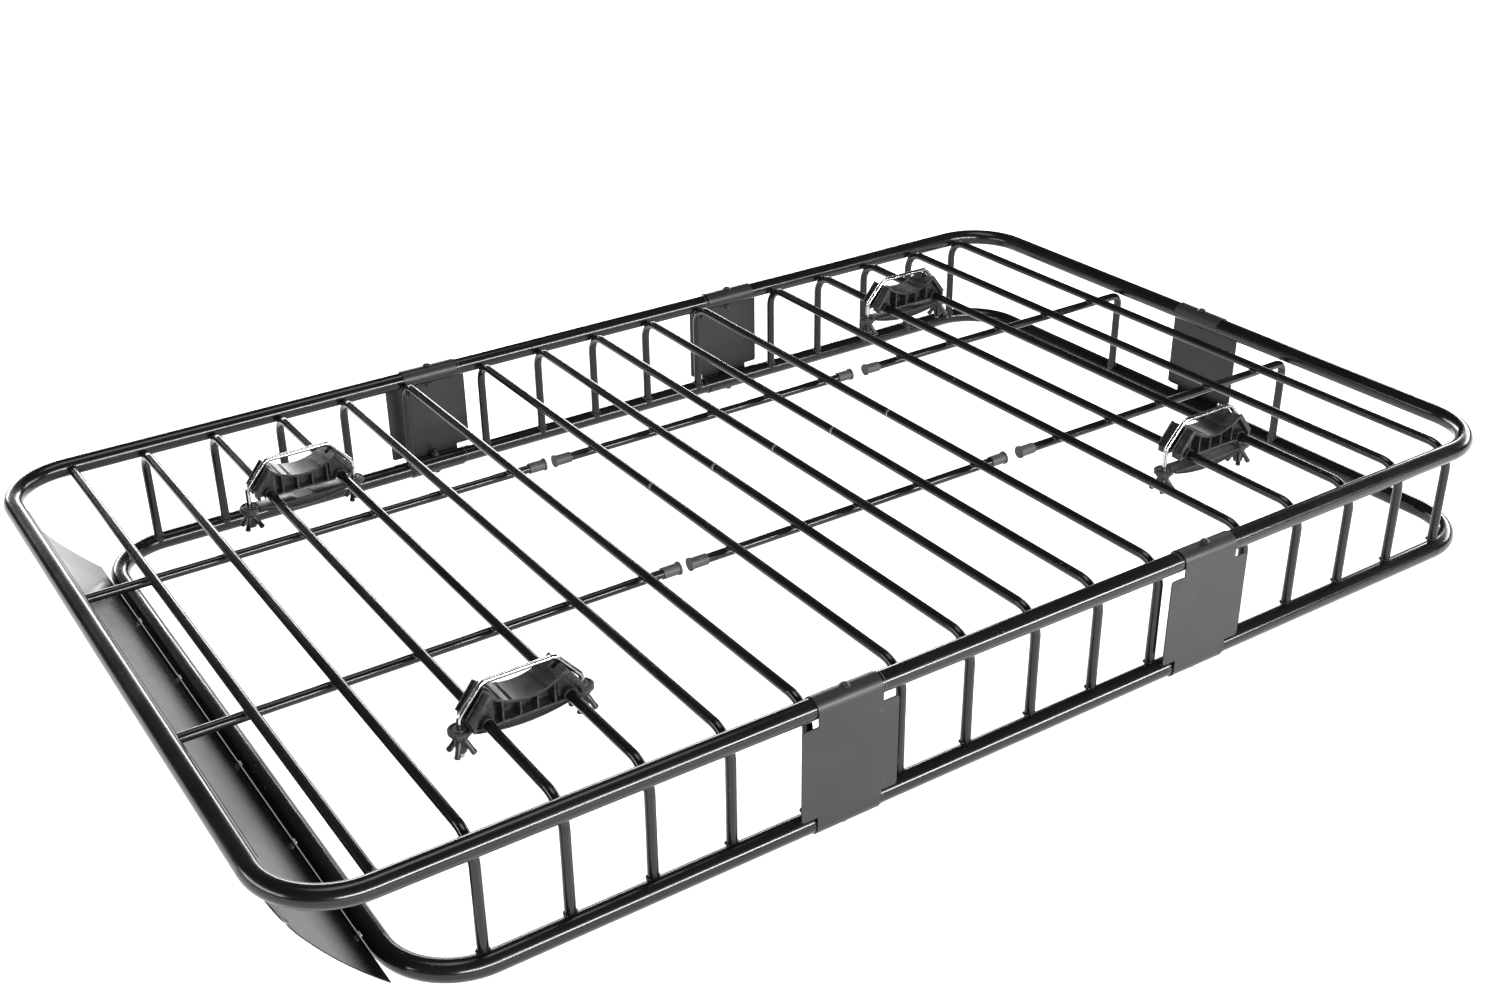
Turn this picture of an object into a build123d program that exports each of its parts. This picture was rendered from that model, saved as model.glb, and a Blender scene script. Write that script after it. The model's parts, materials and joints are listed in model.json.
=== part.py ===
from build123d import *
from math import cos, hypot, radians, sin, sqrt, tan
import os

os.makedirs("parts", exist_ok=True)

# Roof cargo basket, in millimetres, lying upside down on its rim as it is laid out for fitting.
# +X runs to the rear, the wind fairing is at -X, Y runs across, and +Z is the side that faces
# the vehicle's roof. The origin is the centre of the footprint, at the lowest point.

# Driving dimensions
LENGTH = 1626.0
WIDTH = 991.0
RAIL_R = 11.65
RAIL_WALL = 1.3
RING_GAP = 138.1
RIM_SETBACK = 107.0
CORNER_R = 80.0
BAR_R = 5.7
BAR_WALL = 1.0
BAR_PITCH = 91.4
LEG_INSET = 6.85
RUNNER_Y = 160.0
RUNNER_BEND_R = 14.0
TOUCH = 0.05

# Where the sections end and meet along the basket
JOINTS = {"front": -218.0, "rear": 286.0}
JOINT_LINE = 44.0
STUB_REACH = 84.0
FRONT_BARS_MID = -486.0
MIDDLE_BARS_MID = 43.2
REAR_BARS_MID = 546.2
RUNNER_GAPS = ((-207.0, -193.5), (278.5, 303.5))
BAR_SPLIT_Y = 6.0
BAR_SPLIT_GAP = 2.4

# Joint plates and their bolts
SHEET = 1.5
PLATE_W = 120.0
WRAP_W = 80.0
PLATE_CLEAR = 2.4
BOLT_R = 3.0
BOLT_HOLE_R = 3.2
HEAD_R = 6.0
HEAD_H = 3.4
NUT_H = 5.0
NUT_ACROSS = 10.0

# Wind fairing
FAIRING_HALF = 457.0
FAIRING_SHEET = 1.2
FAIRING_BOW = 6.0
FAIRING_CORNER = 34.0
FLANGE_HALF = 392.0
HOLE_R = 2.5
HOLE_IN = 14.0
HOLE_RISE = 104.0

# Clamps: a saddle over two bars, a strip under them, a U-bolt and two knobs
CLAMPS = {
    "front_left": (FRONT_BARS_MID, -310.0, 0.0),
    "front_right": (FRONT_BARS_MID, 278.0, 12.0),
    "rear_left": (500.5, -286.0, 16.0),
    "rear_right": (500.5, 319.0, 9.0),
}
SADDLE_W = 38.0
SADDLE_END = 62.0
SADDLE_TOP_END = 41.0
SLOT_W = 7.4
SLOT_IN = 35.5
WIRE_R = 3.0
U_LEG_X = 68.5
U_KNEE_Z = 6.0
U_BRIDGE_X = 40.0
U_BRIDGE_Z = 38.5
U_LEG_LOW = -38.0
U_BEND_R = 11.0
STRIP_T = 3.0
STRIP_W = 22.0
STRIP_END = 58.0
STRIP_BOW = 7.0
DISC_R = 12.5
DISC_T = 6.0
DISC_TOP = -4.5
KNOB_HUB_R = 6.5
KNOB_H = 22.0
FINGER_R = 3.0
FINGER_SPREAD = 12.5

# Levels, worked out from the sizes above
LIFT = SHEET + HEAD_H
RIM_Z = LIFT + RAIL_R
FLOOR_Z = RIM_Z + RING_GAP
BAR_Z = FLOOR_Z
RUNNER_Z = BAR_Z - 2 * BAR_R - TOUCH
HALF_L = LENGTH / 2 - RAIL_R
HALF_W = WIDTH / 2 - RAIL_R
LEG_Y = HALF_W - LEG_INSET
NEST = RAIL_R + BAR_R + TOUCH
BAR_BEND_R = (NEST - LEG_INSET) + sqrt(2 * NEST * (NEST - LEG_INSET))
RIM_FRONT = -HALF_L + RIM_SETBACK
BOLT_AT = [(JOINTS[k], s * HALF_W, s) for k in JOINTS for s in (-1, 1)]


def unit(a, b):
    """Direction from a to b, and the distance."""
    d = Vector(*b) - Vector(*a)
    return d.normalized(), d.length


def rounded_path(points, radius):
    """A wire through the points, each corner rounded by a tangent arc."""
    edges = []
    start = Vector(*points[0])
    for before, corner, after in zip(points, points[1:], points[2:]):
        into, _ = unit(before, corner)
        out, _ = unit(corner, after)
        turn = radians(into.get_angle(out))
        reach = radius * tan(turn / 2)
        first = Vector(*corner) - into * reach
        last = Vector(*corner) + out * reach
        inward = (out - into).normalized()
        middle = Vector(*corner) + inward * (radius / cos(turn / 2) - radius)
        edges.append(Edge.make_line(start, first))
        edges.append(Edge.make_three_point_arc(first, middle, last))
        start = last
    edges.append(Edge.make_line(start, Vector(*points[-1])))
    return Wire(edges)


def swept(points, bend, radius):
    """A round rod along the rounded path."""
    path = rounded_path(points, bend) if len(points) > 2 else Wire([Edge.make_line(*points)])
    heading, _ = unit(points[0], points[1])
    return sweep(Plane(origin=points[0], z_dir=heading) * Circle(radius), path=path)


def tube(points, bend, radius, wall):
    """A round tube along the rounded path, open at both ends."""
    return swept(points, bend, radius) - swept(points, bend, radius - wall)


def rod(start, end, radius):
    """A straight round rod."""
    heading, length = unit(start, end)
    return extrude(Plane(origin=start, z_dir=heading) * Circle(radius), length)


def save(name, *shapes):
    """Writes one node, made of the given separate solids."""
    solids = [solid for shape in shapes for solid in shape.solids()]
    node = solids[0] if len(solids) == 1 else Compound(children=solids)
    node.label = name
    export_step(node, f"parts/{name}.step")


# Rings: each of the two is bent and straight tube, split at the four joints
def end_rail(x_joint, x_end, z):
    """The bent tube at one end of a ring, open where the middle rails plug in."""
    points = [(x_joint, -HALF_W, z), (x_end, -HALF_W, z), (x_end, HALF_W, z), (x_joint, HALF_W, z)]
    return tube(points, CORNER_R, RAIL_R, RAIL_WALL)


def middle_rail(y, z):
    """A straight rail with a reduced stub at each end."""
    front = JOINTS["front"] + JOINT_LINE
    rear = JOINTS["rear"] - JOINT_LINE
    stub_r = RAIL_R - RAIL_WALL - TOUCH
    body = rod((front, y, z), (rear, y, z), RAIL_R)
    body += rod((front - STUB_REACH, y, z), (rear + STUB_REACH, y, z), stub_r)
    return body - rod((front - 2 * STUB_REACH, y, z), (rear + 2 * STUB_REACH, y, z), stub_r - RAIL_WALL)


def bolt_holes():
    """Cutters for the bolts that cross both rings at every plate."""
    places = [(x, y) for x, y, _ in BOLT_AT] + [(HALF_L, 0)]
    return [rod((x, y, -20), (x, y, FLOOR_Z + 40), BOLT_HOLE_R) for x, y in places]


def rails():
    """Every rail of both rings, by name."""
    built = {}
    for ring, z, front_end in (("floor", FLOOR_Z, -HALF_L), ("rim", RIM_Z, RIM_FRONT)):
        built[f"front_{ring}_rail"] = end_rail(JOINTS["front"] + JOINT_LINE, front_end, z)
        built[f"rear_{ring}_rail"] = end_rail(JOINTS["rear"] - JOINT_LINE, HALF_L, z)
        for side, y in (("left", -HALF_W), ("right", HALF_W)):
            built[f"middle_{ring}_rail_{side}"] = middle_rail(y, z)
    holes = bolt_holes()
    return {name: rail - holes for name, rail in built.items()}


# Cross bars: bent down beside the floor ring, and standing on the rim ring
def ring_core(front_end, z):
    """The space one ring takes up, as a pair of solid bent rods, for fitting the bars to it."""
    half = HALF_W
    cores = []
    for start, end in ((1.0, front_end), (-1.0, HALF_L)):
        points = [(start, -half, z), (end, -half, z), (end, half, z), (start, half, z)]
        cores.append(swept(points, CORNER_R, RAIL_R + TOUCH))
    return cores


RIM_CORE = ring_core(RIM_FRONT, RIM_Z)
FLOOR_CORE = ring_core(-HALF_L, FLOOR_Z)


def bar_xs(middle, count):
    """Places of evenly spaced bars about a middle."""
    return [middle + (i - (count - 1) / 2) * BAR_PITCH for i in range(count)]


def straight_bar(x):
    """The first bar, whose ends butt the floor ring."""
    bar = rod((x, -HALF_W, BAR_Z), (x, HALF_W, BAR_Z), BAR_R)
    bar -= rod((x, -WIDTH, BAR_Z), (x, WIDTH, BAR_Z), BAR_R - BAR_WALL)
    return bar - FLOOR_CORE


def leg_bar(x):
    """A bar with a leg at each side."""
    points = [(x, -LEG_Y, RIM_Z), (x, -LEG_Y, BAR_Z), (x, LEG_Y, BAR_Z), (x, LEG_Y, RIM_Z)]
    return tube(points, BAR_BEND_R, BAR_R, BAR_WALL) - RIM_CORE - FLOOR_CORE


def half_bar(x, side):
    """Half of a middle bar. The left one ends in a reduced stub that plugs into the right one."""
    split = BAR_SPLIT_Y + side * BAR_SPLIT_GAP / 2
    points = [(x, side * LEG_Y, RIM_Z), (x, side * LEG_Y, BAR_Z), (x, split, BAR_Z)]
    bar = tube(points, BAR_BEND_R, BAR_R, BAR_WALL) - RIM_CORE
    if side < 0:
        stub_r = BAR_R - BAR_WALL - TOUCH
        stub = rod((x, split - 2, BAR_Z), (x, split + 30, BAR_Z), stub_r)
        neck = rod((x, split - 2, BAR_Z), (x, split, BAR_Z), BAR_R - BAR_WALL / 2)
        bar += neck + stub
    return bar


# Runners: three thin tubes in line under the cross bars, on each side of the middle
def runner_set(y, side):
    """The three runners of one side. The rear one bends down beside the rear of the floor ring."""
    ends = [-HALF_L + RAIL_R - 4.5, *[x for gap in RUNNER_GAPS for x in gap]]
    front = rod((ends[0], y, RUNNER_Z), (ends[1] - 2.0, y, RUNNER_Z), BAR_R)
    clear_r = RAIL_R + FAIRING_SHEET + 2 * TOUCH
    ring = rod((-HALF_L, y - 40, FLOOR_Z), (-HALF_L, y + 40, FLOOR_Z), clear_r)
    middle = rod((ends[2] + 2.0, y, RUNNER_Z), (ends[3] - 2.0, y, RUNNER_Z), BAR_R)
    leg_x = HALF_L - LEG_INSET
    points = [(ends[4] + 2.0, y, RUNNER_Z), (leg_x, y, RUNNER_Z), (leg_x, y, RIM_Z)]
    rear = tube(points, RUNNER_BEND_R, BAR_R, BAR_WALL)
    rear -= rod((HALF_L, y - 40, RIM_Z), (HALF_L, y + 40, RIM_Z), RAIL_R + TOUCH)
    bore = rod((-HALF_L - 60, y, RUNNER_Z), (ends[3] + 20, y, RUNNER_Z), BAR_R - BAR_WALL)
    return {
        f"front_runner_{side}": front - ring - bore,
        f"middle_runner_{side}": middle - bore,
        f"rear_runner_{side}": rear,
    }


def end_cap(x, y, facing):
    """A rubber cap with a flared rim, pushed over a runner's end. facing is +1 for a front-side end."""
    turn = Plane(origin=(x, y, RUNNER_Z), z_dir=(-facing, 0, 0))
    rim = extrude(turn * Circle(8.2), 2.0)
    barrel = extrude(turn * Circle(7.0), 23.0)
    socket = extrude(turn.offset(2.0) * Circle(BAR_R + TOUCH), 40.0)
    return rim + barrel - socket


# Joint plates: a sheet against the outer sides, wrapped half round over both rings
def joint_plate():
    """The plate on the left side, centred on x = 0."""
    outer_y = -HALF_W - RAIL_R - TOUCH - SHEET
    inner_y = outer_y + SHEET
    wide_low, wide_high = RIM_Z + RAIL_R + PLATE_CLEAR, FLOOR_Z - RAIL_R - PLATE_CLEAR
    sheet_y = (outer_y + inner_y) / 2
    wide_z = (wide_low + wide_high) / 2
    wide = Pos(0, sheet_y, wide_z) * Box(PLATE_W, SHEET, wide_high - wide_low)
    wide = fillet(wide.edges().filter_by(Axis.Y), 4.0)
    spine = Pos(0, sheet_y, (RIM_Z + FLOOR_Z) / 2) * Box(WRAP_W, SHEET, RING_GAP)
    plate = wide + spine
    for z, away in ((FLOOR_Z, 1), (RIM_Z, -1)):
        centre = (-WRAP_W / 2, -HALF_W, z)
        end = (WRAP_W / 2, -HALF_W, z)
        band = rod(centre, end, RAIL_R + TOUCH + SHEET) - rod(centre, end, RAIL_R + TOUCH)
        keep = Pos(0, -HALF_W, z + away * 20) * Box(WRAP_W + 2, 60, 40)
        plate += band & keep
    for z in (RIM_Z - 20, FLOOR_Z + 20):
        plate -= rod((0, -HALF_W, z - 12), (0, -HALF_W, z + 12), BOLT_HOLE_R)
    return plate


def plate_places():
    """Each plate's name and the move that takes the left plate there."""
    places = {}
    for joint, x in JOINTS.items():
        places[f"{joint}_joint_plate_left"] = Pos(x, 0, 0)
        places[f"{joint}_joint_plate_right"] = Pos(x, 0, 0) * Rot(0, 0, 180)
    places["rear_end_plate"] = Pos(HALF_L - HALF_W, 0, 0) * Rot(0, 0, 90)
    return places


def ring_bolt(z, away):
    """A domed bolt through a ring at the left plate's middle, its head on the side given by away."""
    seat = z + away * (RAIL_R + TOUCH + SHEET)
    tip = z - away * (RAIL_R + NUT_H + 3.0)
    shank = rod((0, -HALF_W, seat), (0, -HALF_W, tip), BOLT_R)
    ball_r = (HEAD_R**2 + HEAD_H**2) / (2 * HEAD_H)
    ball = Pos(0, -HALF_W, seat + away * (HEAD_H - ball_r)) * Sphere(ball_r)
    keep = Pos(0, -HALF_W, seat + away * HEAD_H / 2) * Box(30, 30, HEAD_H)
    return shank + (ball & keep)


def ring_nut(z, away):
    """The nut on the other side of the ring."""
    low = z - away * (RAIL_R + TOUCH)
    face = Plane(origin=(0, -HALF_W, low), z_dir=(0, 0, -away))
    hexagon = RegularPolygon(NUT_ACROSS / 2, 6, major_radius=False)
    return extrude(face * (hexagon - Circle(BOLT_R + TOUCH)), NUT_H)


# Wind fairing: a slightly hollow sheet from under the front of the floor ring to the rim ring
def fairing():
    """The sheet, with a flange along the inner side of the floor ring's front tube."""
    top = (-HALF_L + 1.0, FLOOR_Z - RAIL_R - FAIRING_SHEET)
    low = (RIM_FRONT - RAIL_R - 1.0, RIM_Z + 0.5)
    run_x, run_z = low[0] - top[0], low[1] - top[1]
    length = hypot(run_x, run_z)
    normal = (run_z / length, -run_x / length)
    middle_x = (top[0] + low[0]) / 2 + normal[0] * FAIRING_BOW
    middle_z = (top[1] + low[1]) / 2 + normal[1] * FAIRING_BOW
    middle = (middle_x, middle_z)
    half = FAIRING_SHEET / 2

    def shifted(point, by):
        return (point[0] - normal[0] * by, point[1] - normal[1] * by)

    inner = [shifted(p, half) for p in (top, middle, low)]
    outer = [shifted(p, -half) for p in (top, middle, low)]
    inner_arc = ThreePointArc(*inner)
    outer_arc = ThreePointArc(*reversed(outer))
    outline = make_face([inner_arc, Line(inner[2], outer[2]), outer_arc, Line(outer[0], inner[0])])
    # The XZ sketch plane faces -Y, so the sheet is extruded both ways
    sheet = extrude(Plane.XZ * outline, FAIRING_HALF, both=True)
    shape = RectangleRounded(2 * FAIRING_HALF, 2 * FLOOR_Z, FAIRING_CORNER)
    keep_top = extrude(Plane.YZ.offset(-LENGTH) * (Pos(0, top[1] + 1.0 - FLOOR_Z) * shape), 2 * LENGTH)
    sheet = sheet & keep_top
    flange_out = RAIL_R + TOUCH + FAIRING_SHEET
    axis = ((-HALF_L, -FLANGE_HALF, FLOOR_Z), (-HALF_L, FLANGE_HALF, FLOOR_Z))
    flange = rod(*axis, flange_out) - rod(*axis, RAIL_R + TOUCH)
    quarter = Pos(-HALF_L + 20, 0, FLOOR_Z - 20) * Box(40, 3 * FLANGE_HALF, 40)
    sheet += flange & quarter
    for side in (-1, 1):
        y = side * (FAIRING_HALF - HOLE_IN)
        z = RIM_Z + HOLE_RISE
        sheet -= rod((-LENGTH / 2 - 20, y, z), (-LENGTH / 2 + 90, y, z), HOLE_R)
    return sheet


# Clamp pieces, drawn about the middle of the two bars, with z measured from the bars' axis
BAR_HALF = BAR_PITCH / 2
BAR_SEAT = BAR_R + 0.15


def bar_notches(width):
    """Cutters for the two bars under the saddle."""
    cut = rod((-BAR_HALF, -width, 0), (-BAR_HALF, width, 0), BAR_SEAT)
    cut += rod((BAR_HALF, -width, 0), (BAR_HALF, width, 0), BAR_SEAT)
    for x in (-BAR_HALF, BAR_HALF):
        cut += Pos(x, 0, -10) * Box(2 * BAR_SEAT, 2 * width, 20)
    return cut


def saddle():
    """The saddle, with a hollow ribbed top, side pockets and a slot at each end for the U-bolt."""
    points = [(-SADDLE_END, -4), (-SADDLE_END, 4), (-SADDLE_TOP_END, 31)]
    left = Polyline(*points)
    hollow = ThreePointArc(points[-1], (0, 17), (SADDLE_TOP_END, 31))
    right = Polyline((SADDLE_TOP_END, 31), (SADDLE_END, 4), (SADDLE_END, -4))
    base = Line((SADDLE_END, -4), (-SADDLE_END, -4))
    outline = make_face([left, hollow, right, base])
    block = extrude(Plane.XZ * outline, SADDLE_W / 2, both=True)
    for y in (-SADDLE_W / 2 + 5, SADDLE_W / 2 - 5):
        for low, high, roof in ((-29.5, -10.5, 15.0), (-8.5, 8.5, 13.5), (10.5, 29.5, 15.0)):
            block -= Pos((low + high) / 2, y, (roof - 1) / 2) * Box(high - low, 13, roof + 1)
        for x in (-39, 39):
            block -= Pos(x, y, 17) * Box(14, 13, 9)
    for x in (-29, -22, 22, 29):
        groove_z = 17 + 14 * (x / SADDLE_TOP_END) ** 2
        block -= Pos(x, 0, groove_z) * Box(1.6, SADDLE_W + 2, 2.4)
    for side in (-1, 1):
        block -= Pos(side * (SLOT_IN + 30), 0, 15) * Box(60, SLOT_W, 60)
    return block - bar_notches(SADDLE_W)


def u_bolt():
    """A bent round bar: two threaded legs, two slopes and a straight bridge."""
    points = [(-U_LEG_X, 0, U_LEG_LOW), (-U_LEG_X, 0, U_KNEE_Z), (-U_BRIDGE_X, 0, U_BRIDGE_Z)]
    points += [(-x, y, z) for x, y, z in reversed(points)]
    return swept(points, U_BEND_R, WIRE_R)


def clamp_strip(drop):
    """The bowed strip under the bars, ending in a disc around each leg of the U-bolt."""
    end_z = DISC_TOP - 3 - drop
    dip_z = -BAR_R - 0.15 - STRIP_T - drop - STRIP_BOW
    upper = ThreePointArc((-STRIP_END, end_z), (0, dip_z), (STRIP_END, end_z))
    lower = ThreePointArc((STRIP_END, end_z - STRIP_T), (0, dip_z - STRIP_T), (-STRIP_END, end_z - STRIP_T))
    bow = make_face([upper, Line(upper @ 1, lower @ 0), lower, Line(lower @ 1, upper @ 0)])
    strip = extrude(Plane.XZ * bow, STRIP_W / 2, both=True)
    for x in (-U_LEG_X, U_LEG_X):
        top = DISC_TOP - drop
        strip += rod((x, 0, top - DISC_T), (x, 0, top), DISC_R)
    for x in (-U_LEG_X, U_LEG_X):
        strip -= rod((x, 0, -80), (x, 0, 20), WIRE_R + 0.5)
    for x in (-BAR_HALF, BAR_HALF):
        strip -= rod((x, -60, 0), (x, 60, 0), BAR_R + 0.1)
    return strip


def knob(x, drop):
    """A hand knob with four splayed fingers, threaded on the U-bolt's leg."""
    top = DISC_TOP - DISC_T - drop - 0.3
    hub = rod((x, 0, top - KNOB_H), (x, 0, top), KNOB_HUB_R)
    hub += rod((x, 0, top - 4), (x, 0, top), KNOB_HUB_R + 2.5)
    for i in range(4):
        a = radians(45 + 90 * i)
        reach = (x + FINGER_SPREAD * cos(a), FINGER_SPREAD * sin(a), top - KNOB_H + 2)
        hub += rod((x + 3 * cos(a), 3 * sin(a), top - 6), reach, FINGER_R)
        hub += Pos(*reach) * Sphere(FINGER_R)
    return hub - rod((x, 0, top - KNOB_H - 5), (x, 0, top + 1), WIRE_R + 0.05)


def main():
    for name, rail in rails().items():
        save(name, rail)
    save("front_cross_bar_1", straight_bar(bar_xs(FRONT_BARS_MID, 6)[0]))
    for i, x in enumerate(bar_xs(FRONT_BARS_MID, 6)[1:], start=2):
        save(f"front_cross_bar_{i}", leg_bar(x))
    for side, name in ((-1, "left"), (1, "right")):
        save(f"middle_half_bars_{name}", *[half_bar(x, side) for x in bar_xs(MIDDLE_BARS_MID, 5)])
    for i, x in enumerate(bar_xs(REAR_BARS_MID, 5), start=1):
        save(f"rear_cross_bar_{i}", leg_bar(x))
    caps = []
    for y, side in ((-RUNNER_Y, "left"), (RUNNER_Y, "right")):
        for name, runner in runner_set(y, side).items():
            save(name, runner)
        for first, second in RUNNER_GAPS:
            caps += [end_cap(first, y, 1), end_cap(second, y, -1)]
    save("runner_end_caps", *caps)
    bolts, nuts = [], []
    for name, move in plate_places().items():
        save(name, move * joint_plate())
        for z, away in ((FLOOR_Z, 1), (RIM_Z, -1)):
            bolts.append(move * ring_bolt(z, away))
            nuts.append(move * ring_nut(z, away))
    save("joint_bolts", *bolts)
    save("joint_nuts", *nuts)
    save("wind_fairing", fairing())
    for name, (x, y, drop) in CLAMPS.items():
        here = Pos(x, y, BAR_Z)
        save(f"{name}_saddle", here * saddle())
        save(f"{name}_strip", here * clamp_strip(drop))
        save(f"{name}_u_bolt", here * u_bolt())
        save(f"{name}_knob_a", here * knob(-U_LEG_X, drop))
        save(f"{name}_knob_b", here * knob(U_LEG_X, drop))


main()
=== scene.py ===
import json
import math
import random

import bmesh
import bpy
from mathutils import Matrix, Vector


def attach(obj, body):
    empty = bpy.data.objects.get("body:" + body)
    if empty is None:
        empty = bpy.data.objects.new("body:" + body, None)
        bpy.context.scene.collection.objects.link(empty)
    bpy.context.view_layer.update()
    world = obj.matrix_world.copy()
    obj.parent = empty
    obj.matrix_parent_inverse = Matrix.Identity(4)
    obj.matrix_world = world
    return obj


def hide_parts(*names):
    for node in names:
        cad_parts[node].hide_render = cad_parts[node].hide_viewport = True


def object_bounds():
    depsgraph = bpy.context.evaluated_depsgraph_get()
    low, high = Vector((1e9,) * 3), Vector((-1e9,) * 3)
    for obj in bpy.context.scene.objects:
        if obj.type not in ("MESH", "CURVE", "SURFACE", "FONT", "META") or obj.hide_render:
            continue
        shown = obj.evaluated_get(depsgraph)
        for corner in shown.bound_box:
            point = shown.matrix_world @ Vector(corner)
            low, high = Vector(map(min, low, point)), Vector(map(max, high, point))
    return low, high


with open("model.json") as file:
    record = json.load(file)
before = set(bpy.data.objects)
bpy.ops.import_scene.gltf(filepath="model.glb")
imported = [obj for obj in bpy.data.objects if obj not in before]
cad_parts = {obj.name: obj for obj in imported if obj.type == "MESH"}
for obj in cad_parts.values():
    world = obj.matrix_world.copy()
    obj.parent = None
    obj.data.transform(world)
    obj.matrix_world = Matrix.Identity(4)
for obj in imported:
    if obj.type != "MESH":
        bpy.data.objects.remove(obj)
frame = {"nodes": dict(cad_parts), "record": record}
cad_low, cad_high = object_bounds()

scene = bpy.context.scene

# Sizes of the frame in metres, as the CAD part has them
RAIL_R = 0.01165
BAR_R = 0.0057
HALF_L = 0.80135
HALF_W = 0.48385
RIM_Z = 0.01655
FLOOR_Z = 0.15465
RIM_FRONT = -0.69435
LEG_Y = HALF_W - 0.00685
RUNNER_Y = 0.160
RUNNER_Z = FLOOR_Z - 2 * BAR_R
PITCH = 0.0914
FRONT_BARS = [-0.486 + (i - 2.5) * PITCH for i in range(6)]
MIDDLE_BARS = [0.0432 + (i - 2) * PITCH for i in range(5)]
REAR_BARS = [0.5462 + (i - 2) * PITCH for i in range(5)]
CLAMPS = {
    "front_left": (-0.486, -0.310, 0.0),
    "front_right": (-0.486, 0.278, 0.012),
    "rear_left": (0.5005, -0.286, 0.016),
    "rear_right": (0.5005, 0.319, 0.009),
}
U_LEG_X = 0.0685
JOINT_XS = (-0.218 + 0.044, 0.286 - 0.044)
TACK_YS = (-0.384, -0.220, -0.062, 0.140, 0.291)
RIDGE_XS = (-0.0322, -0.0300, -0.0205, -0.0183, 0.0183, 0.0205, 0.0300, 0.0322)
RIB_XS = (-0.0290, -0.0095, 0.0095, 0.0290)
STRIP_HALF = 0.0585
STRIP_SECTION = (
    (-0.0098, 1.0), (-0.0110, 0.93), (-0.0110, 0.76), (-0.0100, 0.68),
    (-0.0100, 0.32), (-0.0110, 0.24), (-0.0110, 0.07), (-0.0098, 0.0),
    (0.0098, 0.0), (0.0110, 0.07), (0.0110, 0.24), (0.0100, 0.32),
    (0.0100, 0.68), (0.0110, 0.76), (0.0110, 0.93), (0.0098, 1.0),
)


# Materials
class Nodes:
    """A short way to build a node material."""

    def __init__(self, name):
        self.mat = bpy.data.materials.new(name)
        self.mat.use_nodes = True
        self.tree = self.mat.node_tree
        self.bsdf = self.tree.nodes["Principled BSDF"]
        self.coord = self.add("ShaderNodeTexCoord").outputs["Object"]

    def add(self, kind, **inputs):
        node = self.tree.nodes.new(kind)
        for key, value in inputs.items():
            self.put(node, key.replace("_", " "), value)
        return node

    def put(self, node, key, value):
        socket = node.inputs[int(key)] if key.isdigit() else node.inputs[key]
        if isinstance(value, bpy.types.NodeSocket):
            self.tree.links.new(value, socket)
        else:
            socket.default_value = value

    def noise(self, scale, detail=3.0, rough=0.55, stretch=None):
        vector = self.coord
        if stretch:
            mapping = self.add("ShaderNodeMapping")
            self.put(mapping, "Vector", self.coord)
            mapping.inputs["Scale"].default_value = stretch
            vector = mapping.outputs["Vector"]
        node = self.add("ShaderNodeTexNoise", Vector=vector, Scale=scale, Detail=detail, Roughness=rough)
        return node.outputs["Fac"]

    def mix(self, factor, a, b):
        node = self.add("ShaderNodeMix")
        node.data_type = "RGBA"
        for socket, value in ((0, factor), (6, a), (7, b)):
            if isinstance(value, bpy.types.NodeSocket):
                self.tree.links.new(value, node.inputs[socket])
            else:
                node.inputs[socket].default_value = value
        return node.outputs[2]

    def range(self, value, low, high, to_low, to_high):
        node = self.add("ShaderNodeMapRange", Value=value)
        for key, number in (("From Min", low), ("From Max", high), ("To Min", to_low), ("To Max", to_high)):
            node.inputs[key].default_value = number
        return node.outputs["Result"]

    def edges(self, low=0.505, high=0.56):
        """Bright where the surface turns outward sharply."""
        point = self.add("ShaderNodeNewGeometry").outputs["Pointiness"]
        return self.range(point, low, high, 0.0, 1.0)

    def product(self, a, b):
        node = self.add("ShaderNodeMath")
        node.operation = "MULTIPLY"
        self.put(node, "0", a)
        self.put(node, "1", b)
        return node.outputs[0]

    def bump(self, height, distance, strength=1.0):
        node = self.add("ShaderNodeBump", Height=height)
        node.inputs["Distance"].default_value = distance
        node.inputs["Strength"].default_value = strength
        self.put(self.bsdf, "Normal", node.outputs["Normal"])

    def set(self, **values):
        for key, value in values.items():
            self.put(self.bsdf, key.replace("_", " "), value)
        return self.mat


def grey(value, warm=0.0):
    return (value * (1 + warm), value, value * (1 - warm * 0.4), 1)


def powder_coat(name, base, rough, peel, grain_scale=900.0, chips=0.78):
    """Baked black powder: fine orange peel, slow changes of gloss, dust and patches of small pale chips."""
    n = Nodes(name)
    n.set(IOR=1.36)
    peel_noise = n.noise(grain_scale, 2.0, 0.5)
    wave = n.noise(26.0, 3.0, 0.6)
    gloss = n.range(n.noise(9.0, 4.0, 0.6), 0.3, 0.7, rough - 0.035, rough + 0.045)
    body = n.mix(n.range(wave, 0.3, 0.75, 0.0, 1.0), grey(base * 0.8, 0.01), grey(base * 1.25, 0.03))
    dust = n.range(n.noise(420.0, 2.0, 0.7), 0.72, 0.80, 0.0, 0.25)
    body = n.mix(dust, body, grey(0.10, 0.03))
    speck = n.range(n.noise(650.0, 1.0, 0.5), chips, chips + 0.012, 0.0, 1.0)
    place = n.range(n.noise(13.0, 2.0, 0.5), 0.60, 0.66, 0.0, 1.0)
    chip = n.product(speck, place)
    body = n.mix(chip, body, grey(0.50, 0.02))
    n.bump(peel_noise, peel, 0.55)
    return n.set(Base_Color=body, Roughness=n.mix(chip, gloss, grey(0.5)))


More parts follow.
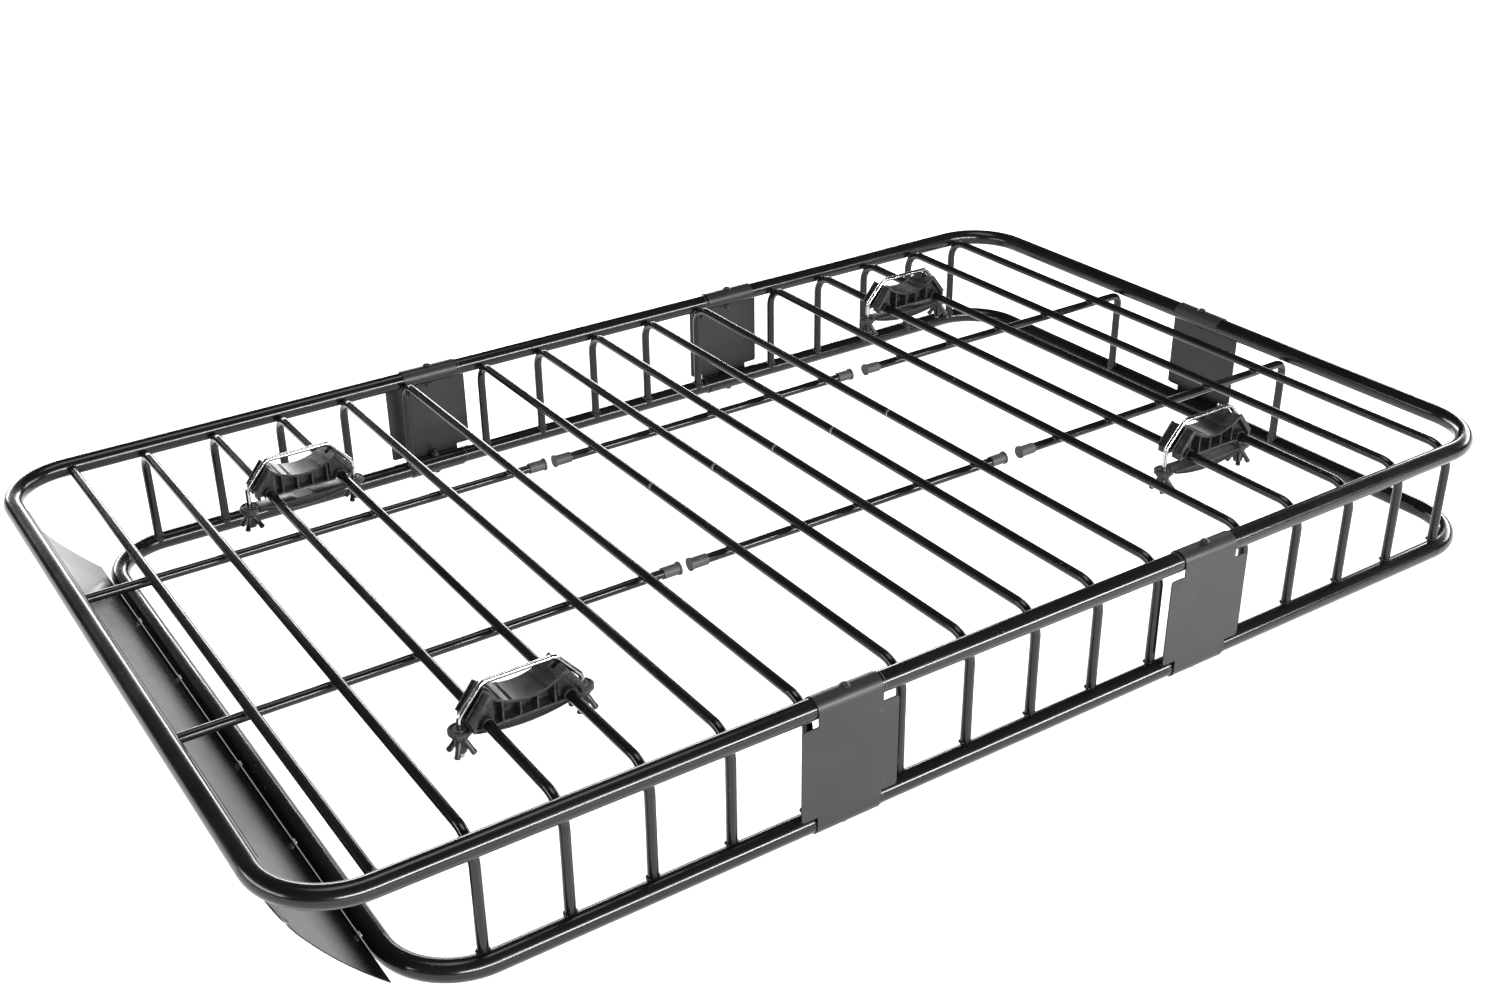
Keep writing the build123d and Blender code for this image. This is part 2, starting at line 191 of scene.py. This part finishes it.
def moulded_plastic(name, base, rough, grain):
    """Glass-filled nylon: faint flow marks, a fine spark-eroded grain and rubbed edges."""
    n = Nodes(name)
    n.set(IOR=1.33)
    flow = n.noise(60.0, 4.0, 0.6, (1.0, 0.35, 1.0))
    body = n.mix(n.range(flow, 0.3, 0.7, 0.0, 1.0), grey(base * 0.75), grey(base * 1.3, 0.02))
    rub = n.product(n.edges(), n.range(n.noise(300.0, 3.0, 0.6), 0.35, 0.65, 0.0, 0.5))
    body = n.mix(rub, body, grey(0.05, 0.02))
    gloss = n.range(n.noise(45.0, 3.0, 0.6), 0.3, 0.7, rough - 0.05, rough + 0.08)
    n.bump(n.noise(2200.0, 2.0, 0.6), grain, 0.6)
    return n.set(Base_Color=body, Roughness=gloss)


def zinc_plate(name):
    """Glossy zinc with drawn lines along the wire, faint haze and dull spots."""
    n = Nodes(name)
    n.set(Metallic=1.0, IOR=1.5)
    haze = n.noise(70.0, 4.0, 0.6)
    body = n.mix(n.range(haze, 0.3, 0.7, 0.0, 1.0), (0.46, 0.47, 0.49, 1), (0.34, 0.35, 0.37, 1))
    spot = n.range(n.noise(500.0, 2.0, 0.6), 0.70, 0.76, 0.0, 0.6)
    body = n.mix(spot, body, (0.28, 0.28, 0.28, 1))
    n.bump(n.noise(900.0, 2.0, 0.6, (1.0, 1.0, 0.12)), 0.000004, 0.15)
    return n.set(Base_Color=body, Roughness=n.range(haze, 0.3, 0.7, 0.12, 0.22))


def bare_steel(name):
    """Cut, unpainted tube: ground lines and a little tarnish."""
    n = Nodes(name)
    n.set(Metallic=1.0)
    lines = n.noise(800.0, 3.0, 0.7, (1.0, 0.1, 1.0))
    body = n.mix(lines, (0.62, 0.62, 0.63, 1), (0.36, 0.35, 0.34, 1))
    n.bump(lines, 0.00005, 0.5)
    return n.set(Base_Color=body, Roughness=n.range(lines, 0.3, 0.7, 0.3, 0.5))


def rubber(name):
    """Matt rubber with a dry bloom and a soft grain."""
    n = Nodes(name)
    n.set(IOR=1.5)
    bloom = n.noise(110.0, 5.0, 0.65)
    body = n.mix(n.range(bloom, 0.35, 0.7, 0.0, 1.0), grey(0.009), grey(0.026, 0.02))
    n.bump(n.noise(1500.0, 3.0, 0.6), 0.00006, 0.5)
    return n.set(Base_Color=body, Roughness=n.range(bloom, 0.3, 0.7, 0.5, 0.72))


MATERIALS = {
    "tube_coat": powder_coat("tube_coat", 0.0034, 0.19, 0.000012),
    "plate_coat": powder_coat("plate_coat", 0.0075, 0.42, 0.00004),
    "fairing_coat": powder_coat("fairing_coat", 0.0022, 0.22, 0.000012),
    "clamp_plastic": moulded_plastic("clamp_plastic", 0.0022, 0.34, 0.00003),
    "strip_plastic": moulded_plastic("strip_plastic", 0.0030, 0.42, 0.00003),
    "cap_rubber": rubber("cap_rubber"),
    "fastener_black": powder_coat("fastener_black", 0.010, 0.30, 0.00003),
    "zinc_steel": zinc_plate("zinc_steel"),
}
WELD = powder_coat("weld_coat", 0.006, 0.26, 0.0001, 500.0)
BARE = bare_steel("bare_steel")
TACK = bare_steel("tack_steel")

slot_of = {row["node"]: row["material_slot"] for row in frame["record"]["subparts"]}
for name, node in frame["nodes"].items():
    node.data.materials.clear()
    node.data.materials.append(MATERIALS[slot_of[name]])
    for face in node.data.polygons:
        face.material_index = 0


# Mesh helpers
def piece(name, mesh, body, material):
    """Makes a shown piece of the object from a bmesh."""
    data = bpy.data.meshes.new(name)
    mesh.to_mesh(data)
    mesh.free()
    for face in data.polygons:
        face.use_smooth = True
    obj = bpy.data.objects.new(name, data)
    scene.collection.objects.link(obj)
    data.materials.append(material)
    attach(obj, body)
    return obj


def turned_rings(mesh, profile, place, turns):
    """The (radius, height) profile's points turned about the z axis of place."""
    rings = []
    for r, z in profile:
        ring = []
        for i in range(turns):
            a = math.tau * i / turns
            ring.append(mesh.verts.new(place @ Vector((r * math.cos(a), r * math.sin(a), z))))
        rings.append(ring)
    return rings


def join_rings(mesh, low, high):
    for i in range(len(low)):
        j = (i + 1) % len(low)
        mesh.faces.new((low[i], low[j], high[j], high[i]))


def cap_ends(mesh, rings):
    mesh.faces.new(list(reversed(rings[0])))
    mesh.faces.new(rings[-1])


def lathe(mesh, profile, place, turns=24):
    """A turned solid with flat closed ends."""
    rings = turned_rings(mesh, profile, place, turns)
    for low, high in zip(rings, rings[1:]):
        join_rings(mesh, low, high)
    cap_ends(mesh, rings)


def tube_lathe(mesh, profile, place, turns):
    """A turned ring: the profile's two ends are joined too."""
    rings = turned_rings(mesh, profile, place, turns)
    for low, high in zip(rings, rings[1:] + rings[:1]):
        join_rings(mesh, low, high)


def aim(origin, axis):
    """A matrix at origin whose z axis is axis."""
    turn = Vector(axis).to_track_quat("Z", "Y").to_matrix().to_4x4()
    return Matrix.Translation(Vector(origin)) @ turn


def bead(mesh, spot, radius, rng):
    """One lump of a weld, a little uneven."""
    lump = bmesh.ops.create_icosphere(mesh, subdivisions=2, radius=1.0)
    size = radius * rng.uniform(0.85, 1.15)
    flat = [size * rng.uniform(0.85, 1.15) for _ in range(3)]
    for vert in lump["verts"]:
        vert.co = Vector((vert.co[i] * flat[i] for i in range(3))) + spot


def add_welds():
    """Small beads where bars meet the rings and the runners."""
    rng = random.Random(4)
    mesh = bmesh.new()
    for x in FRONT_BARS[1:] + MIDDLE_BARS + REAR_BARS:
        for side in (-1, 1):
            foot = Vector((x, side * LEG_Y, RIM_Z + RAIL_R - 0.0006))
            for i in range(14):
                a = math.tau * i / 14
                lift = -0.0022 * math.sin(a) ** 2
                spot = foot + Vector((0.0062 * math.cos(a), 0.0062 * math.sin(a), lift))
                bead(mesh, spot, 0.0015, rng)
            hug = Vector((x, side * (HALF_W - RAIL_R + 0.0012), FLOOR_Z - 0.0055))
            for i in range(5):
                bead(mesh, hug + Vector(((i - 2) * 0.0019, 0, 0)), 0.0021, rng)
    for side in (-1, 1):
        rail_face = side * (HALF_W - RAIL_R + 0.0002)
        for i in range(12):
            a = math.tau * i / 12
            across, up = 0.006 * math.cos(a), 0.006 * math.sin(a)
            bead(mesh, Vector((FRONT_BARS[0] + across, rail_face, FLOOR_Z + up)), 0.0015, rng)
    for x in FRONT_BARS + MIDDLE_BARS + REAR_BARS:
        for y in (-RUNNER_Y, RUNNER_Y):
            for side in (-1, 1):
                for i in range(3):
                    along = y + (i - 1) * 0.0016 + side * 0.0032
                    spot = Vector((x + side * 0.0042, along, FLOOR_Z - BAR_R))
                    bead(mesh, spot, 0.0017, rng)
    for y in (-RUNNER_Y, RUNNER_Y):
        for i in range(10):
            a = math.tau * i / 10
            foot_x = HALF_L - 0.00685 + 0.0058 * math.cos(a)
            foot = Vector((foot_x, y + 0.0058 * math.sin(a), RIM_Z + RAIL_R - 0.001))
            bead(mesh, foot, 0.0015, rng)
            front_x = -HALF_L + RAIL_R - 0.0015
            front = Vector((front_x, y + 0.0056 * math.cos(a), RUNNER_Z + 0.0056 * math.sin(a)))
            bead(mesh, front, 0.0016, rng)
        for i in range(5):
            spot = Vector((HALF_L - RAIL_R + 0.001, y + (i - 2) * 0.0018, FLOOR_Z - 0.005))
            bead(mesh, spot, 0.0021, rng)
    piece("weld_beads", mesh, "basket", WELD)
    tacks = bmesh.new()
    for y in TACK_YS:
        for i in range(4):
            spot = Vector((RIM_FRONT - RAIL_R + 0.0004, y + (i - 1.5) * 0.0019, RIM_Z + 0.0036))
            bead(tacks, spot, 0.0014, rng)
    piece("fairing_tacks", tacks, "basket", TACK)


def add_joint_bands():
    """Bare stub where the two halves of each middle bar meet, with the outer tube's dark mouth."""
    bare, mouth = bmesh.new(), bmesh.new()
    for x in MIDDLE_BARS:
        place = aim((x, 0.0049, FLOOR_Z), (0, 1, 0))
        lathe(bare, [(0.00525, 0.0), (0.0053, 0.0003), (0.0053, 0.0019), (0.00525, 0.0022)], place)
        place = aim((x, 0.0071, FLOOR_Z), (0, 1, 0))
        profile = [
            (0.0050, -0.0001), (0.00566, 0.0), (0.00585, 0.0004), (0.00585, 0.0012), (0.00572, 0.0017),
        ]
        lathe(mouth, profile, place)
    piece("bar_stub_bands", bare, "basket", BARE)
    piece("bar_mouth_rims", mouth, "basket", MATERIALS["cap_rubber"])


def add_rail_seams():
    """Fine dark lines where the rails butt beside the joint plates."""
    mesh = bmesh.new()
    for x in JOINT_XS:
        for y in (-HALF_W, HALF_W):
            for z in (RIM_Z, FLOOR_Z):
                r = RAIL_R
                profile = [
                    (r - 0.0002, -0.0006), (r + 0.00016, -0.0004),
                    (r + 0.00016, 0.0004), (r - 0.0002, 0.0006),
                ]
                lathe(mesh, profile, aim((x, y, z), (1, 0, 0)), 40)
    piece("rail_seams", mesh, "basket", MATERIALS["cap_rubber"])


def sweep(mesh, points, radius, sides=8):
    """A round bead through the points, with closed ends."""
    rings = []
    for i, p in enumerate(points):
        ahead = points[min(i + 1, len(points) - 1)] - points[max(i - 1, 0)]
        place = aim(p, ahead)
        ring = []
        for k in range(sides):
            a = math.tau * k / sides
            ring.append(mesh.verts.new(place @ Vector((radius * math.cos(a), radius * math.sin(a), 0))))
        rings.append(ring)
    for low, high in zip(rings, rings[1:]):
        shift = min(range(sides), key=lambda s: (high[s].co - low[0].co).length)
        for k in range(sides):
            j = (k + 1) % sides
            mesh.faces.new((low[k], low[j], high[(j + shift) % sides], high[(k + shift) % sides]))
    cap_ends(mesh, rings)


def top_of_saddle(x):
    """Height of the saddle's hollow top, an arc from 31 mm at the ends to 17 mm in the middle."""
    half, dip = 0.041, 0.014
    r = (half * half + dip * dip) / (2 * dip)
    return 0.017 + r - math.sqrt(r * r - x * x)


def prism(mesh, origin, outline, low_y, high_y):
    """The (x, z) outline as a block between two y positions."""
    near = [mesh.verts.new(origin + Vector((x, low_y, z))) for x, z in outline]
    far = [mesh.verts.new(origin + Vector((x, high_y, z))) for x, z in outline]
    mesh.faces.new(near)
    mesh.faces.new(list(reversed(far)))
    for i in range(len(outline)):
        j = (i + 1) % len(outline)
        mesh.faces.new((near[j], near[i], far[i], far[j]))


def add_saddle(name, origin):
    """The moulded saddle: dished top skin, slotted sloping ends, ribbed sides, lips round the bars."""
    mesh = bmesh.new()
    wide = 0.019
    skin = 0.0032
    xs = [-0.0355 + 0.071 * i / 20 for i in range(21)]
    above = [(x, top_of_saddle(x)) for x in xs]
    prism(mesh, origin, above + [(x, z - skin) for x, z in reversed(above)], -wide, wide)
    web = [(-0.0355, -0.004)] + [(x, z - 0.002) for x, z in above] + [(0.0355, -0.004)]
    prism(mesh, origin, web, -0.0040, 0.0040)
    seat = BAR_R + 0.0004
    for end in (-1, 1):
        slope = [(0.0620, -0.0040), (0.0620, 0.0040), (0.0410, 0.0310)]
        slope += [(0.0350, top_of_saddle(0.0350))]
        slope += [(0.0350, top_of_saddle(0.0350) - skin), (0.0398, 0.0264)]
        slope += [(0.0585, 0.0030), (0.0585, -0.0040)]
        cheek = [(0.0350, -0.0040), (PITCH / 2 - seat, -0.0040)]
        for i in range(9):
            a = math.pi * (1 - i / 8)
            cheek.append((PITCH / 2 + seat * math.cos(a), seat * math.sin(a)))
        cheek += [(PITCH / 2 + seat, -0.0040), (0.0600, -0.0040), (0.0600, 0.0036)]
        cheek += [(0.0404, 0.0290), (0.0350, 0.0260)]
        fin = [(0.0624, 0.0036), (0.0640, 0.0050), (0.0428, 0.0326), (0.0406, 0.0312)]
        blocks = (
            (slope, 0.0040, wide), (cheek, 0.0045, 0.0105),
            (fin, 0.0042, 0.0062), (fin, 0.0166, wide),
        )
        for side in (-1, 1):
            for outline, low, high in blocks:
                shape = [(end * px, pz) for px, pz in outline]
                prism(mesh, origin, shape, min(side * low, side * high), max(side * low, side * high))
    for side in (-1, 1):
        low, high = min(side * 0.0035, side * 0.0182), max(side * 0.0035, side * 0.0182)
        for x in RIB_XS:
            z = top_of_saddle(x) - 0.002
            rib = [(x - 0.0009, -0.0030), (x - 0.0009, z), (x + 0.0009, z), (x + 0.0009, -0.0030)]
            prism(mesh, origin, rib, low, high)
        sill = [(-0.038, -0.004), (-0.038, -0.0018), (0.038, -0.0018), (0.038, -0.004)]
        prism(mesh, origin, sill, low, high)
        for x in (-PITCH / 2, PITCH / 2):
            y = side * 0.0130
            hood = [(x - 0.0074, -0.0040), (x - 0.0074, 0.0)]
            for i in range(9):
                a = math.pi * (1 - i / 8)
                hood.append((x + 0.0074 * math.cos(a), 0.0074 * math.sin(a)))
            hood += [(x + 0.0074, 0.0), (x + 0.0074, -0.0040), (x + seat, -0.0040)]
            for i in range(9):
                a = math.pi * i / 8
                hood.append((x + seat * math.cos(a), seat * math.sin(a)))
            hood += [(x - seat, -0.0040)]
            prism(mesh, origin, hood, min(y - 0.006, y + 0.006), max(y - 0.006, y + 0.006))
    for x in RIDGE_XS:
        z = top_of_saddle(x)
        ridge = [
            (x - 0.0005, z - 0.001), (x - 0.0005, z + 0.0008),
            (x + 0.0005, z + 0.0008), (x + 0.0005, z - 0.001),
        ]
        prism(mesh, origin, ridge, -wide + 0.0006, wide - 0.0006)
    bmesh.ops.recalc_face_normals(mesh, faces=mesh.faces)
    plastic = MATERIALS["clamp_plastic"]
    saddle = piece(f"{name}_saddle_moulding", mesh, "basket", plastic)
    bevel = saddle.modifiers.new("moulded_edges", "BEVEL")
    bevel.width = 0.0004
    bevel.segments = 2
    bevel.limit_method = "ANGLE"
    bevel.angle_limit = math.radians(35)
    shade_by_angle(saddle, 45.0)
    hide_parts(f"{name}_saddle")


def disc_profile(top, r):
    """Section of a strip's end disc: a raised rim round a shallow step."""
    return [
        (0.0036, top - 0.0060),
        (r - 0.0012, top - 0.0060),
        (r, top - 0.0050),
        (r, top - 0.0012),
        (r - 0.0010, top - 0.0002),
        (r - 0.0024, top - 0.0002),
        (r - 0.0030, top - 0.0009),
        (r - 0.0046, top - 0.0009),
        (r - 0.0052, top),
        (0.0036, top),
    ]


def add_strip(name, origin, drop):
    """The lower strip: a bowed bar with recessed sides, and a turned disc at each end."""
    mesh = bmesh.new()
    low = origin - Vector((0, 0, drop))
    stations = []
    for i in range(-12, 13):
        x = STRIP_HALF * i / 12
        sag = 1 - (x / STRIP_HALF) ** 2
        stations.append((x, -0.0060 - 0.0006 * sag, -0.0105 - 0.0088 * sag))
    section = []
    for x, top, bottom in stations:
        tall = top - bottom
        loop = []
        for y, part in STRIP_SECTION:
            loop.append(mesh.verts.new(low + Vector((x, y, bottom + tall * part))))
        section.append(loop)
    for a, b in zip(section, section[1:]):
        join_rings(mesh, a, b)
    cap_ends(mesh, section)
    for x in (-U_LEG_X, U_LEG_X):
        tube_lathe(mesh, disc_profile(-0.0045, 0.0125), Matrix.Translation(low + Vector((x, 0, 0))), 40)
    bmesh.ops.recalc_face_normals(mesh, faces=mesh.faces)
    strip = piece(f"{name}_strip_moulding", mesh, "basket", MATERIALS["strip_plastic"])
    shade_by_angle(strip)
    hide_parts(f"{name}_strip")


def add_knob(name, which, origin, drop):
    """A hand knob: collar, ribbed hub and four splayed fingers with rounded ends."""
    mesh = bmesh.new()
    x = -U_LEG_X if which == "a" else U_LEG_X
    top = -0.0045 - 0.0060 - drop - 0.0003
    place = Matrix.Translation(origin + Vector((x, 0, top)))
    profile = [
        (0.0031, 0.0), (0.0082, 0.0), (0.0090, -0.0008), (0.0090, -0.0034),
        (0.0083, -0.0042), (0.0068, -0.0048), (0.0064, -0.0100), (0.0062, -0.0190),
        (0.0052, -0.0215), (0.0040, -0.0220), (0.0031, -0.0220),
    ]
    tube_lathe(mesh, profile, place, 28)
    for i in range(4):
        a = math.radians(45 + 90 * i)
        out = Vector((math.cos(a), math.sin(a), 0))
        root = out * 0.0026 + Vector((0, 0, -0.0055))
        tip = out * 0.0125 + Vector((0, 0, -0.0200))
        axis = (tip - root).normalized()
        reach = (tip - root).length
        finger = [
            (0.0010, 0.0), (0.0029, 0.0004), (0.0033, reach * 0.35),
            (0.0030, reach * 0.7), (0.0030, reach * 0.92), (0.0034, reach),
            (0.0034, reach + 0.0012), (0.0028, reach + 0.0023), (0.0014, reach + 0.0029),
        ]
        lathe(mesh, finger, place @ aim(root, axis), 16)
        web = [
            root + Vector((0, 0, -0.001)),
            (root + tip) / 2 + Vector((0, 0, -0.0015)),
            tip + Vector((0, 0, -0.001)) - out * 0.002,
        ]
        sweep(mesh, [place @ w for w in web], 0.0016, 8)
    bmesh.ops.recalc_face_normals(mesh, faces=mesh.faces)
    node = f"{name}_knob_{which}"
    knob = piece(f"{node}_moulding", mesh, node, MATERIALS["clamp_plastic"])
    shade_by_angle(knob)
    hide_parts(f"{name}_knob_{which}")


def add_thread(name, origin):
    """Rolled thread on the lower part of both legs of the U-bolt."""
    mesh = bmesh.new()
    for x in (-U_LEG_X, U_LEG_X):
        profile = [(0.0028, -0.0381), (0.0029, -0.0379)]
        z = -0.0375
        while z < -0.0015:
            profile += [(0.00302, z), (0.00280, z + 0.0005)]
            z += 0.001
        profile.append((0.0028, z))
        lathe(mesh, profile, Matrix.Translation(origin + Vector((x, 0, 0))), 16)
    piece(f"{name}_u_bolt_thread", mesh, f"{name}_u_bolt", MATERIALS["zinc_steel"])


def shade_by_angle(obj, degrees=35.0):
    """Smooth over gentle turns and crisp at corners."""
    for edge in obj.data.edges:
        edge.use_edge_sharp = False
    mesh = bmesh.new()
    mesh.from_mesh(obj.data)
    for edge in mesh.edges:
        if len(edge.link_faces) == 2 and edge.calc_face_angle(0.0) > math.radians(degrees):
            edge.smooth = False
    mesh.to_mesh(obj.data)
    mesh.free()


add_welds()
add_joint_bands()
add_rail_seams()
for clamp, (x, y, drop) in CLAMPS.items():
    middle = Vector((x, y, FLOOR_Z))
    add_saddle(clamp, middle)
    add_strip(clamp, middle, drop)
    add_thread(clamp, middle)
    for which in ("a", "b"):
        add_knob(clamp, which, middle, drop)


# Stage, light and camera
def add_floor():
    mesh = bmesh.new()
    bmesh.ops.create_grid(mesh, x_segments=2, y_segments=2, size=14.0)
    data = bpy.data.meshes.new("studio_floor")
    mesh.to_mesh(data)
    mesh.free()
    floor = bpy.data.objects.new("studio_floor", data)
    floor.location = (0, 0, cad_low.z - 0.0003)
    scene.collection.objects.link(floor)
    n = Nodes("studio_floor")
    n.set(Base_Color=(0.85, 0.85, 0.855, 1), Roughness=0.9, IOR=1.2)
    n.set(Emission_Color=(1, 1, 1, 1), Emission_Strength=0.82)
    data.materials.append(n.mat)


def add_light(name, place, target, size, watts, tall=None):
    light = bpy.data.lights.new(name, "AREA")
    light.shape = "RECTANGLE"
    light.size = size
    light.size_y = tall or size
    light.energy = watts
    obj = bpy.data.objects.new(name, light)
    obj.location = place
    obj.rotation_mode = "QUATERNION"
    obj.rotation_quaternion = (Vector(target) - Vector(place)).to_track_quat("-Z", "Y")
    scene.collection.objects.link(obj)


def add_camera():
    camera = bpy.data.cameras.new("camera")
    camera.lens = 42.128
    camera.sensor_width = 36.0
    camera.shift_x = 0.0329
    camera.clip_end = 60.0
    obj = bpy.data.objects.new("camera", camera)
    obj.location = (-1.1037, -1.6307, 1.1413)
    azimuth, elevation, roll = (math.radians(a) for a in (-32.2463, 27.7135, -1.3572))
    level = math.cos(elevation)
    back = Vector((math.sin(azimuth) * level, -math.cos(azimuth) * level, math.sin(elevation)))
    right = Vector((math.cos(azimuth), math.sin(azimuth), 0))
    up = back.cross(right)
    across = math.cos(roll) * right + math.sin(roll) * up
    upright = math.cos(roll) * up - math.sin(roll) * right
    obj.rotation_mode = "QUATERNION"
    obj.rotation_quaternion = Matrix((across, upright, back)).transposed().to_quaternion()
    scene.collection.objects.link(obj)
    scene.camera = obj


add_floor()
add_light("near_box", (0.4, -3.3, 1.05), (0.1, 0, 0.1), 5.0, 420.0, 0.36)
add_light("far_box", (0.6, 4.2, 1.0), (0.1, 0, 0.1), 5.0, 210.0, 0.7)
add_light("front_box", (-4.0, 0.6, 1.1), (0, 0, 0.1), 3.6, 120.0, 0.6)
add_light("rear_box", (4.2, 0.4, 1.3), (0, 0, 0.1), 3.6, 130.0, 0.7)
add_light("overhead_box", (0.0, 0.2, 3.4), (0, 0, 0), 2.4, 45.0, 1.2)
world = bpy.data.worlds.new("studio")
world.use_nodes = True
world.node_tree.nodes["Background"].inputs["Color"].default_value = (1, 1, 1, 1)
world.node_tree.nodes["Background"].inputs["Strength"].default_value = 0.05
scene.world = world
scene.view_settings.view_transform = "Standard"
add_camera()
